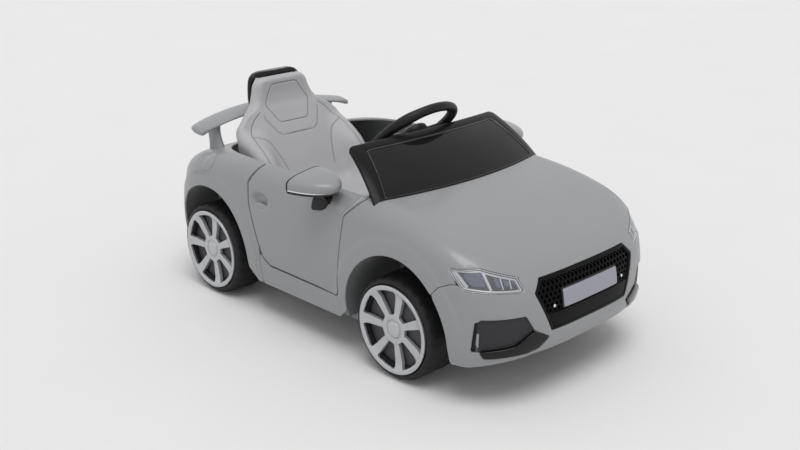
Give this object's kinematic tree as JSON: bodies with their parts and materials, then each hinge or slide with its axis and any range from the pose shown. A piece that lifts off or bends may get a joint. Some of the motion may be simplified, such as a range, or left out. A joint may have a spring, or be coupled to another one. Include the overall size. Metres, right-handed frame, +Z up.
{
  "type": "electric ride-on car",
  "caption": "Child's electric ride-on sports car with opening doors, coupled steering, sprung pedal, moulded bucket seat, low windscreen and rear spoiler.",
  "frame": {"origin": "on the ground under the middle of the car's bounding box", "axes": "+X forward to the nose, +Y to the driver's left, +Z up"},
  "size_m": [1.0401, 0.644, 0.4696],
  "materials": {
    "body_grey": "satin moulded",
    "seat_grey": "fine grain",
    "gloss_black": "gloss",
    "black_plastic": "fine grain",
    "tyre_black": "smooth",
    "silver": "silver lacquer",
    "clear_lens": "clear",
    "red_lens": "clear red",
    "smoked_pane": "smoked",
    "steel": "zinc plated",
    "mirror_face": "mirror film"
  },
  "bodies": {
    "chassis": {"front_body": "body_grey", "rear_body": "body_grey", "front_bumper": "body_grey", "rear_bumper": "body_grey", "grille_panel": "gloss_black", "number_plate_front": "silver", "tail_panel": "gloss_black", "tail_lamp_housings": "black_plastic", "hinge_pins": "steel", "windscreen_frame": "gloss_black", "windscreen_pane": "smoked_pane", "rear_axle": "steel", "gearboxes": "black_plastic", "motors": "steel", "battery": "black_plastic", "chassis_tub": "black_plastic", "arch_liners": "black_plastic", "dashboard": "black_plastic", "seat": "seat_grey", "seat_back_shell": "gloss_black", "spoiler_blade": "body_grey", "spoiler_stands": "body_grey", "fuel_flap": "body_grey", "charging_socket": "black_plastic", "floor_screws": "steel", "headlamp_lens_right": "clear_lens", "headlamp_lens_left": "clear_lens", "tail_lamp_lens_right": "red_lens", "tail_lamp_lens_left": "red_lens", "headlamp_housing_right": "silver", "headlamp_housing_left": "silver", "intake_panel_right": "black_plastic", "intake_panel_left": "black_plastic", "splitter_blade_right": "gloss_black", "splitter_blade_left": "gloss_black"},
    "steering": {"steering_column": "steel", "steering_wheel": "black_plastic"},
    "horn": {"horn_pad": "black_plastic"},
    "tie_rod": {"tie_rod": "steel"},
    "pedal": {"accelerator_pedal": "black_plastic"},
    "power": {"power_button": "black_plastic"},
    "direction": {"direction_rocker": "black_plastic"},
    "door_right": {"door_right": "body_grey", "mirror_shell_right": "body_grey", "mirror_glass_right": "mirror_face", "mirror_stalk_right": "gloss_black"},
    "knuckle_right": {"knuckle_right": "steel"},
    "front_wheel_right": {"tyre_front_right": "tyre_black", "wheel_trim_front_right": "silver"},
    "rear_wheel_right": {"tyre_rear_right": "tyre_black", "wheel_trim_rear_right": "silver"},
    "door_left": {"door_left": "body_grey", "mirror_shell_left": "body_grey", "mirror_glass_left": "mirror_face", "mirror_stalk_left": "gloss_black"},
    "knuckle_left": {"knuckle_left": "steel"},
    "front_wheel_left": {"tyre_front_left": "tyre_black", "wheel_trim_front_left": "silver"},
    "rear_wheel_left": {"tyre_rear_left": "tyre_black", "wheel_trim_rear_left": "silver"}
  },
  "joints": [
    {"name": "steering_turn", "type": "hinge", "parent": "chassis", "child": "steering", "pos_m": [0.05, 0, 0.397], "axis": [0.6691, 0, -0.7431], "range_deg": [-35, 35]},
    {"name": "horn_press", "type": "slide", "parent": "steering", "child": "horn", "axis": [0.6691, 0, -0.7431], "range_m": [0, 0.002], "stiffness_N_per_m": 800},
    {"name": "tie_rod_slide", "type": "slide", "parent": "chassis", "child": "tie_rod", "axis": [0, 1, 0], "range_m": [-0.0206, 0.0206]},
    {"name": "pedal_press", "type": "hinge", "parent": "chassis", "child": "pedal", "pos_m": [0.186, -0.056, 0.076], "axis": [0, 1, 0], "range_deg": [0, 15], "stiffness_Nm_per_rad": 3, "springref_deg": -8.59},
    {"name": "power_press", "type": "slide", "parent": "chassis", "child": "power", "axis": [1, 0, 0], "range_m": [0, 0.003], "stiffness_N_per_m": 500},
    {"name": "direction_rock", "type": "hinge", "parent": "chassis", "child": "direction", "pos_m": [0.104, -0.096, 0.284], "axis": [0, 1, 0], "range_deg": [-8, 8]},
    {"name": "door_right_swing", "type": "hinge", "parent": "chassis", "child": "door_right", "pos_m": [0.08, -0.247, 0.2], "axis": [0, 0, 1], "range_deg": [0, 50]},
    {"name": "knuckle_right_steer", "type": "hinge", "parent": "chassis", "child": "knuckle_right", "pos_m": [0.255, -0.178, 0.102], "axis": [0, 0, 1], "range_deg": [-20, 20]},
    {"name": "front_wheel_right_spin", "type": "hinge", "parent": "knuckle_right", "child": "front_wheel_right", "pos_m": [0.255, -0.211, 0.102], "axis": [0, 1, 0], "continuous": true},
    {"name": "rear_wheel_right_spin", "type": "hinge", "parent": "chassis", "child": "rear_wheel_right", "pos_m": [-0.323, -0.211, 0.102], "axis": [0, 1, 0], "continuous": true},
    {"name": "door_left_swing", "type": "hinge", "parent": "chassis", "child": "door_left", "pos_m": [0.08, 0.247, 0.2], "axis": [0, 0, -1], "range_deg": [0, 50]},
    {"name": "knuckle_left_steer", "type": "hinge", "parent": "chassis", "child": "knuckle_left", "pos_m": [0.255, 0.178, 0.102], "axis": [0, 0, 1], "range_deg": [-20, 20]},
    {"name": "front_wheel_left_spin", "type": "hinge", "parent": "knuckle_left", "child": "front_wheel_left", "pos_m": [0.255, 0.211, 0.102], "axis": [0, 1, 0], "continuous": true},
    {"name": "rear_wheel_left_spin", "type": "hinge", "parent": "chassis", "child": "rear_wheel_left", "pos_m": [-0.323, 0.211, 0.102], "axis": [0, 1, 0], "continuous": true}
  ],
  "couplings": [
    {"joint": "tie_rod_slide", "follows": "steering_turn", "m_per_rad": -0.033559},
    {"joint": "knuckle_right_steer", "follows": "steering_turn", "ratio": -0.57114},
    {"joint": "knuckle_left_steer", "follows": "steering_turn", "ratio": -0.57114}
  ]
}
